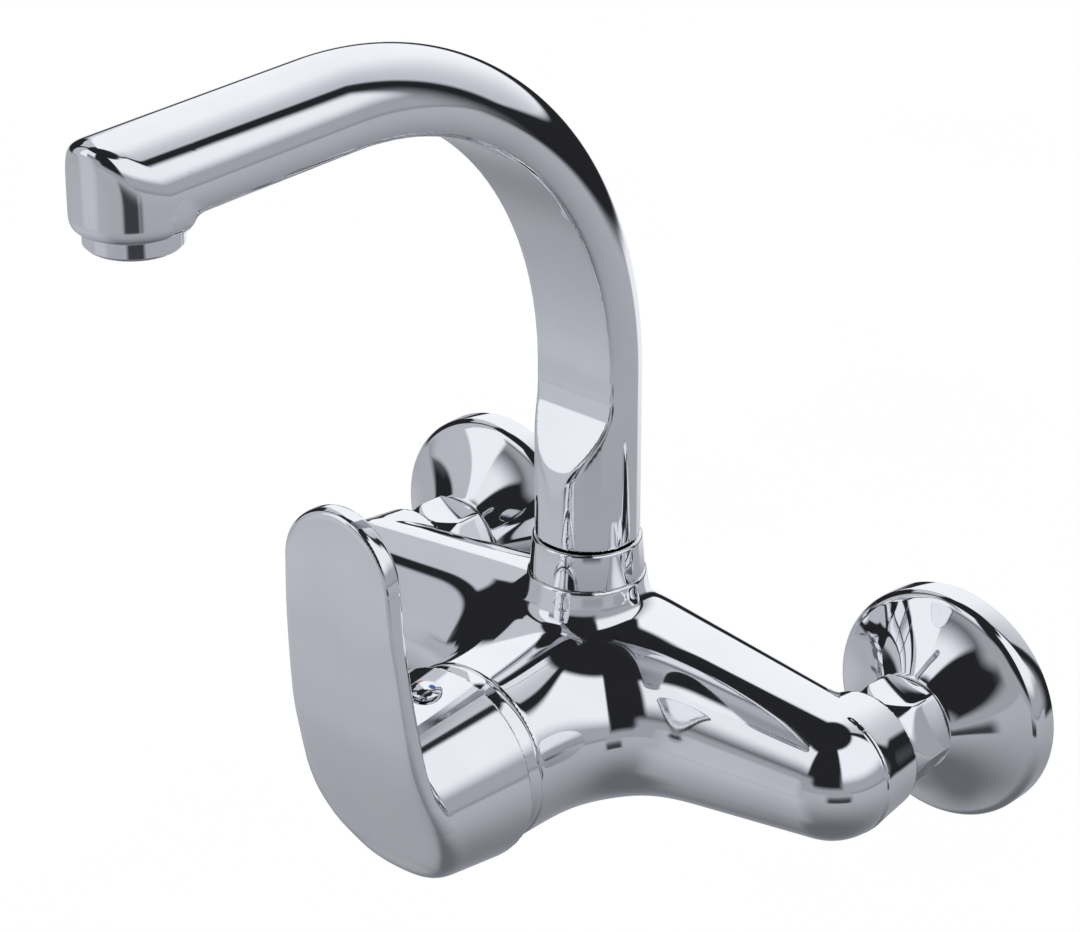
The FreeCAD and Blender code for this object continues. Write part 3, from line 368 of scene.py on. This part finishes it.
# Wall flanges: spun bells with a rounded rim band
NECK = 11.2
WALL = 1.3
BELL = 18.6
bell_outline = (
    [(RIM, 0.0)] + arc((RIM, 4.6), (RIM - 0.55, 6.6), (RIM - 2.2, 7.7), 6)
    + arc((RIM - 2.2, 7.7), (19.6, 12.2), (NECK + WALL, BELL), 24)[1:]
    + arc((NECK, BELL), (18.6, 11.2), (RIM - 2.6, 6.5), 24)
    + arc((RIM - 2.6, 6.5), (RIM - 1.6, 5.8), (RIM - WALL, 4.4), 6)[1:] + [(RIM - WALL, 0.0)]
)
flanges = [turned("bell_flange_" + tag, bell_outline, axis_place((side * HALF, 0, 0), (0, -1, 0)))
           for side, tag in ((1, "right"), (-1, "left"))]

# Spout collar and the cover ring in front of the barrel
NECK_HOLE = 12.43
COLLAR_LIP = 1.9
collar_rise = collar_high.z - collar_low.z
lip_low = collar_rise - COLLAR_LIP
collar_outline = (
    [(14.4, 0.0), (13.75, 8.6)] + arc((13.75, 8.6), (13.6, 9.2), (13.0, collar_rise), 6)[1:]
    + [(9.6, collar_rise), (9.6, lip_low), (NECK_HOLE, lip_low), (NECK_HOLE, 0.0)]
)
collar = turned("collar_ring", collar_outline, axis_place((0, SPOUT_Y, collar_low.z), (0, 0, 1)))
cover_outline = (
    [(23.4, 0.0), (23.4, 1.0), (22.4, 4.2)] + arc((22.4, 4.2), (22.1, 4.75), (21.5, 4.9), 5)[1:]
    + [(14.2, 4.9), (14.2, 3.8), (21.03, 3.8), (21.03, 0.0)]
)
cover = turned("barrel_cover", cover_outline, axis_place((0, cover_high.y, DROP), (0, -1, 0)))

# Index plug: a small dome on a stem
PLUG_Y = (plug_low.y + plug_high.y) / 2
plug_outline = (
    [(0.0, 0.0), (2.9, 0.0), (2.9, 6.1), (4.1, 6.15)]
    + arc((4.1, 6.3), (2.5, 7.35), (0.5, 7.7), 10) + [(0.0, 7.7)]
)
plug = turned("index_dome", plug_outline, axis_place((0, PLUG_Y, plug_low.z), (0, 0, 1)), 0.1)

# Which CAD piece each one stands for, the body it rides on and its material slot
STANDS_FOR = [
    (body, "mixer_body", "fixed", "body_chrome"), (spout, "spout", "spout_arm", "spout_chrome"),
    (lever, "lever_handle", "lever", "handle_chrome"), (nuts, "union_nuts", "fixed", "nut_chrome"),
    (flanges[0], "wall_flange_right", "fixed", "flange_chrome"),
    (flanges[1], "wall_flange_left", "fixed", "flange_chrome"),
    (collar, "spout_collar", "fixed", "collar_chrome"), (cover, "cover_ring", "fixed", "cover_chrome"),
    (plug, "index_plug", "lever", "index_red_blue"),
]
for piece, node, rides_on, slot in STANDS_FOR:
    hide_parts(node)
    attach(piece, rides_on)


# Shader maths: a socket with operators
class Line:
    def __init__(self, bench, socket):
        self.bench = bench
        self.socket = socket

    def _math(self, operation, *values):
        return self.bench.add("ShaderNodeMath", {"operation": operation}, *values)

    def __add__(self, other):
        return self._math("ADD", self, other)

    def __radd__(self, other):
        return self._math("ADD", other, self)

    def __sub__(self, other):
        return self._math("SUBTRACT", self, other)

    def __rsub__(self, other):
        return self._math("SUBTRACT", other, self)

    def __mul__(self, other):
        return self._math("MULTIPLY", self, other)

    def __rmul__(self, other):
        return self._math("MULTIPLY", other, self)

    def power(self, other):
        return self._math("POWER", self, other)

    def above(self, other):
        return self._math("MAXIMUM", self, other)

    def below(self, other):
        return self._math("MINIMUM", self, other)

    def wave(self):
        return self._math("SINE", self)

    def step(self, low, high):
        settings = {"interpolation_type": "SMOOTHSTEP"}
        return self.bench.add("ShaderNodeMapRange", settings, self, low, high, 0.0, 1.0)


class Bench:
    # the node tree of one material or of the world
    def __init__(self, tree):
        self.tree = tree
        tree.nodes.clear()

    def add(self, kind, settings=None, *values, out=0, **named):
        node = self.tree.nodes.new(kind)
        for key, value in (settings or {}).items():
            setattr(node, key, value)
        for place, value in list(enumerate(values)) + list(named.items()):
            name = place if isinstance(place, int) else place.replace("_", " ")
            self.feed(node.inputs[name], value)
        return Line(self, node.outputs[out]) if len(node.outputs) else node

    def split(self, vector):
        parts = self.add("ShaderNodeSeparateXYZ", None, vector)
        return [Line(self, socket) for socket in parts.socket.node.outputs]

    def blend(self, share, first, second):
        # a colour mixed from two, which are colours or lines
        mixed = self.add("ShaderNodeMix", {"data_type": "RGBA"}, out=2, Factor=share)
        for place, colour in ((6, first), (7, second)):
            self.feed(mixed.socket.node.inputs[place], colour)
        return mixed

    def feed(self, socket, value):
        if isinstance(value, Line):
            self.tree.links.new(value.socket, socket)
        elif value is not None:
            socket.default_value = value


def finish(name):
    # a material with one surface shader, whose sockets the caller feeds
    material = bpy.data.materials.new(name)
    material.use_nodes = True
    bench = Bench(material.node_tree)
    shader = bench.add("ShaderNodeBsdfPrincipled")
    bench.add("ShaderNodeOutputMaterial", None, Surface=shader)
    return material, bench, shader.socket.node


def object_place(bench):
    return bench.add("ShaderNodeTexCoord", out=3)


def speckle(bench, scale, detail=3.0, place=None):
    where = place or object_place(bench)
    return bench.add("ShaderNodeTexNoise", None, Vector=where, Scale=scale, Detail=detail, Roughness=0.55)


def bumped(bench, height, strength, distance):
    return bench.add("ShaderNodeBump", None, Strength=strength, Distance=distance, Height=height)


PLATING = (0.87, 0.875, 0.895, 1)
PLATING_HAZE = (0.84, 0.845, 0.868, 1)
DOME_HAZE = (0.83, 0.84, 0.865, 1)
HOT_RED = (0.62, 0.03, 0.035, 1)
COLD_BLUE = (0.03, 0.10, 0.42, 1)


def chrome_finish(name, polish=0.03, swell=0.0):
    # bright plating with faint polishing haze and, on castings, the slow swell of a hand-buffed surface
    material, bench, surface = finish(name)
    haze = speckle(bench, 55.0).step(0.35, 0.75)
    fine = speckle(bench, 520.0, 2.0)
    bench.feed(surface.inputs["Base Color"], bench.blend(haze, PLATING, PLATING_HAZE))
    bench.feed(surface.inputs["Roughness"], polish + haze * 0.016 + fine * 0.006)
    surface.inputs["Metallic"].default_value = 1.0
    if swell:
        bench.feed(surface.inputs["Normal"], bumped(bench, speckle(bench, 38.0, 1.0), swell, 0.0012))
    return material


def turned_metal(name, light, dark, axis, polish=0.22, pitch=5200.0):
    # machined metal with fine tool rings along the axis it was turned on
    material, bench, surface = finish(name)
    place = object_place(bench)
    rings = (bench.split(place)[axis] * pitch).wave()
    cloud = speckle(bench, 160.0, 4.0, place=place)
    bench.feed(surface.inputs["Base Color"], bench.blend(cloud.step(0.3, 0.7), light, dark))
    bench.feed(surface.inputs["Roughness"], polish + cloud * 0.14 + rings * 0.03)
    surface.inputs["Metallic"].default_value = 1.0
    bench.feed(surface.inputs["Normal"], bumped(bench, rings * 0.5 + cloud * 0.3, 0.35, 0.0001))
    return material


def moulded(name, light, dark, polish=0.42, grain=900.0, depth=0.25, coat=0.0):
    # rubber or plastic from a mould, with a fine grain and slight cloudiness
    material, bench, surface = finish(name)
    place = object_place(bench)
    cloud = speckle(bench, 90.0, 3.0, place=place)
    pores = speckle(bench, grain, 2.0, place=place)
    bench.feed(surface.inputs["Base Color"], bench.blend(cloud.step(0.3, 0.7), light, dark))
    bench.feed(surface.inputs["Roughness"], polish + pores * 0.16)
    bench.feed(surface.inputs["Normal"], bumped(bench, pores, depth, 0.0001))
    surface.inputs["Coat Weight"].default_value = coat
    return material


def index_finish(name):
    # the chrome dome carries a small red spot on the left and a blue one on the right
    material, bench, surface = finish(name)
    across, along, up = bench.split(object_place(bench))
    haze = speckle(bench, 260.0)
    metal = bench.blend(haze.step(0.35, 0.7), PLATING, DOME_HAZE)

    def spot(x, y, radius=0.00085):
        reach = ((across - x) * (across - x) + (along - y) * (along - y)).power(0.5)
        return 1 - reach.step(radius * 0.85, radius * 1.1)

    on_top = up.step(0.0215, 0.0217)
    red = spot(-0.0024, PLUG_Y * MM + 0.0006) * on_top
    blue = spot(0.0018, PLUG_Y * MM + 0.0004) * on_top
    colour = bench.blend(blue, bench.blend(red, metal, HOT_RED), COLD_BLUE)
    bench.feed(surface.inputs["Base Color"], colour)
    bench.feed(surface.inputs["Roughness"], 0.05 + haze * 0.03 + (red + blue) * 0.22)
    bench.feed(surface.inputs["Metallic"], 1 - (red + blue).below(1.0))
    return material


cast_chrome = chrome_finish("cast_chrome", 0.03, 0.05)
plate_chrome = chrome_finish("plate_chrome", 0.05, 0.02)
tube_chrome = chrome_finish("tube_chrome", 0.03, 0.03)
spun_chrome = chrome_finish("spun_chrome", 0.025)
nickel = turned_metal("nickel_plated_brass", (0.70, 0.70, 0.71, 1), (0.62, 0.62, 0.635, 1), 1, 0.12)
brass = turned_metal("turned_brass", (0.80, 0.60, 0.28, 1), (0.70, 0.49, 0.20, 1), 1)
steel = turned_metal("stainless_steel", (0.60, 0.60, 0.61, 1), (0.50, 0.50, 0.52, 1), 1, 0.2)
rubber = moulded("black_rubber", (0.028, 0.028, 0.03, 1), (0.016, 0.016, 0.018, 1), 0.55, 700.0, 0.4)
slip_plastic = moulded("white_slip_plastic", (0.84, 0.83, 0.79, 1), (0.77, 0.76, 0.71, 1))
insert_plastic = moulded("grey_insert_plastic", (0.48, 0.50, 0.53, 1), (0.41, 0.43, 0.46, 1))
cartridge_plastic = moulded("cartridge_plastic", (0.80, 0.79, 0.76, 1), (0.72, 0.71, 0.68, 1))
turret_plastic = moulded("turret_plastic", (0.13, 0.14, 0.16, 1), (0.09, 0.10, 0.115, 1), 0.35)
ceramic = moulded("lapped_ceramic", (0.88, 0.87, 0.84, 1), (0.83, 0.82, 0.79, 1), 0.12, 1400.0, 0.08, 0.4)

FINISHES = {
    "inlet_seats": brass, "wall_union_right": nickel, "wall_union_left": nickel,
    "cartridge_retaining_nut": brass, "filter_washers": rubber, "flange_seals": rubber,
    "spout_o_rings": rubber, "aerator_washer": rubber, "cartridge_port_seals": rubber,
    "spout_slip_ring": slip_plastic, "aerator_housing": spun_chrome, "aerator_insert": insert_plastic,
    "aerator_screen": steel, "cartridge_base": cartridge_plastic, "cartridge_housing": cartridge_plastic,
    "fixed_ceramic_disc": ceramic, "moving_ceramic_disc": ceramic, "disc_carrier": turret_plastic,
    "stem_turret": turret_plastic, "stem_pin": steel, "cartridge_stem": steel, "handle_grub_screw": steel,
}
for name, obj in NODES.items():
    obj.data.materials.clear()
    obj.data.materials.append(FINISHES.get(name, spun_chrome))
for piece, material in ((body, cast_chrome), (spout, tube_chrome), (lever, plate_chrome), (nuts, spun_chrome),
                        (flanges[0], spun_chrome), (flanges[1], spun_chrome), (collar, spun_chrome),
                        (cover, spun_chrome), (plug, index_finish("index_dome_finish"))):
    piece.data.materials.clear()
    piece.data.materials.append(material)

# Studio: lit panels and dark gaps round the tap, a dark ceiling and a grey table, for mirror rays only
world = bpy.data.worlds.new("studio")
bpy.context.scene.world = world
world.use_nodes = True
room = Bench(world.node_tree)
toward = room.split(room.add("ShaderNodeTexCoord"))
elevation = room.add("ShaderNodeMath", {"operation": "ARCSINE"}, toward[2]) * (180 / math.pi)


def bearing(centre):
    # degrees to the right of a compass direction, where 0 looks into the wall and 90 along the wall
    turn = math.radians(centre)
    across = toward[0] * math.cos(turn) - toward[1] * math.sin(turn)
    along = toward[0] * math.sin(turn) + toward[1] * math.cos(turn)
    return room.add("ShaderNodeMath", {"operation": "ARCTAN2"}, across, along) * (180 / math.pi)


def soft_box(centre, left, right, low, high, side=2.0, foot=2.0, top=3.0):
    # one inside a lit panel and zero outside it, with edges as soft as given in degrees
    turn = bearing(centre)
    across = turn.step(left - side, left + side) * (1 - turn.step(right - side, right + side))
    return across * elevation.step(low - foot, low + foot) * (1 - elevation.step(high - top, high + top))


TABLE_NEAR = 0.14
TABLE_FAR = 0.47
GAP = 0.02
BACK_LEVEL = 1.05
BACK_FADE = 0.45
LEFT_LEVEL = 0.62
FRONT_LEVEL = 0.95
SIDE_WALL_LEVEL = 0.56
WALL_LEVEL = 0.40
LOW_PANEL_LEVEL = 0.60
POST_SHADE = 0.92
NEAR_GLOW = 0.16
RIGHT_GLOW = 0.42
STRIP_LEVEL = 0.5
from_back = bearing(0)
back_box = soft_box(0, -52, 27, 0, 63, side=2.0, foot=1.5, top=3.0)
back_shade = BACK_LEVEL - from_back.step(-25, 30) * BACK_FADE
sill = (-38 - from_back).below(32.0)
left_box = soft_box(-65, -24, 24, -10, 57) * (elevation - sill).step(-1.5, 1.5)
right_box = soft_box(80, -42, 46, 8, 63, side=3.0, foot=14.0, top=3.0)
front_box = soft_box(-155, -21, 17, 20, 54, side=3.0, foot=14.0, top=3.0)
scoop_box = soft_box(-144, -9, 14, 1, 54, side=2.0, foot=3.0, top=3.0)
front_wall = soft_box(-157, -29, 53, -12, 13, side=6.0, foot=8.0, top=6.0)
low_wall = soft_box(147, -38, 38, -30, 0, side=6.0, foot=8.0, top=5.0)
side_wall = soft_box(-119, -17, 16, -12, 54, side=3.0, foot=8.0, top=3.0)
low_panel = soft_box(-145, -32, 32, -30, 6, side=24.0, foot=8.0, top=6.0)
tip_post = soft_box(130, -19, 19, -25, -15, side=5.0, foot=1.5, top=6.0) * POST_SHADE
near_glow = soft_box(-125, -45, 45, -66, -24, side=20.0, foot=8.0, top=6.0)
table = TABLE_NEAR + elevation.step(-78, -8) * (TABLE_FAR - TABLE_NEAR) + near_glow * NEAR_GLOW
right_glow = soft_box(85, -48, 42, -12, 25, side=6.0, foot=8.0, top=12.0) * RIGHT_GLOW
far_strip = soft_box(-20, -22, 24, -27, -16, side=3.0, foot=3.0, top=1.5) * STRIP_LEVEL
dark_gap = soft_box(0, -42, 38, -16, 0, side=2.0, foot=2.5, top=1.0)
ground = table * (1 - elevation.step(-12, -6)) * (1 - dark_gap)
walls = (front_wall + low_wall).below(1.0) * WALL_LEVEL
level = (GAP + ground + far_strip).above(right_glow)
level = level.above(side_wall * SIDE_WALL_LEVEL).above(left_box * LEFT_LEVEL)
level = level.above(walls).above(low_panel * LOW_PANEL_LEVEL)
level = level.above(back_box * back_shade).above(right_box)
level = level.above(front_box * FRONT_LEVEL).above(scoop_box)
level = level * (1 - tip_post) + tip_post * GAP

# White to the camera, an even light on the surfaces, and the panels in mirror rays
AMBIENT = 0.9
WHITE = (1, 1, 1, 1)
DIM_TINT = (0.905, 0.93, 1.05, 1)
BRIGHT_TINT = (0.945, 0.958, 1.0, 1)
seen = room.add("ShaderNodeLightPath", out="Is Camera Ray")
mirrored = room.add("ShaderNodeLightPath", out="Is Glossy Ray")
strength = seen + (1 - seen) * (mirrored * level + (1 - mirrored) * AMBIENT)
tint = room.blend(level.below(1.0), DIM_TINT, BRIGHT_TINT)
colour = room.blend(mirrored, WHITE, tint)
sky = room.add("ShaderNodeBackground", None, Color=colour, Strength=strength)
room.add("ShaderNodeOutputWorld", None, Surface=sky)

# Pale floor, well below the tap
FLOOR_Z = -0.9
FLOOR_REACH = 6.0
FLOOR_GLOW = 0.2
FLOOR_LIGHT = (0.90, 0.90, 0.90, 1)
FLOOR_DARK = (0.88, 0.88, 0.88, 1)
sheet = bmesh.new()
floor_place = Matrix.Translation((0, 0, FLOOR_Z))
bmesh.ops.create_grid(sheet, x_segments=1, y_segments=1, size=FLOOR_REACH, matrix=floor_place)
floor_mesh = bpy.data.meshes.new("floor")
sheet.to_mesh(floor_mesh)
sheet.free()
floor = show("floor", floor_mesh)
floor.visible_glossy = False
painted, paint, surface = finish("pale_floor_paint")
mottle = speckle(paint, 3.0)
paint.feed(surface.inputs["Base Color"], paint.blend(mottle, FLOOR_LIGHT, FLOOR_DARK))
surface.inputs["Roughness"].default_value = 1.0
surface.inputs["Specular IOR Level"].default_value = 0.0
surface.inputs["Emission Strength"].default_value = FLOOR_GLOW
surface.inputs["Emission Color"].default_value = WHITE
floor_mesh.materials.append(painted)

# Camera at the photograph's viewpoint
CAMERA_AT = Vector((0.5473, -0.6970, 0.4713))
AZIMUTH = math.radians(41.2)
ELEVATION = math.radians(26.0)
LENS = 127.2
SENSOR = 36.0
eye = bpy.data.objects.new("camera", bpy.data.cameras.new("camera"))
bpy.context.scene.collection.objects.link(eye)
level_part = math.cos(ELEVATION)
backwards = Vector((math.sin(AZIMUTH) * level_part, -math.cos(AZIMUTH) * level_part, math.sin(ELEVATION)))
eye.rotation_mode = "QUATERNION"
eye.location = CAMERA_AT
eye.rotation_quaternion = (-backwards).to_track_quat("-Z", "Y")
eye.data.lens = LENS
eye.data.sensor_width = SENSOR
eye.data.clip_start = 0.01
eye.data.clip_end = 50.0
bpy.context.scene.camera = eye
bpy.context.scene.view_settings.view_transform = "Standard"
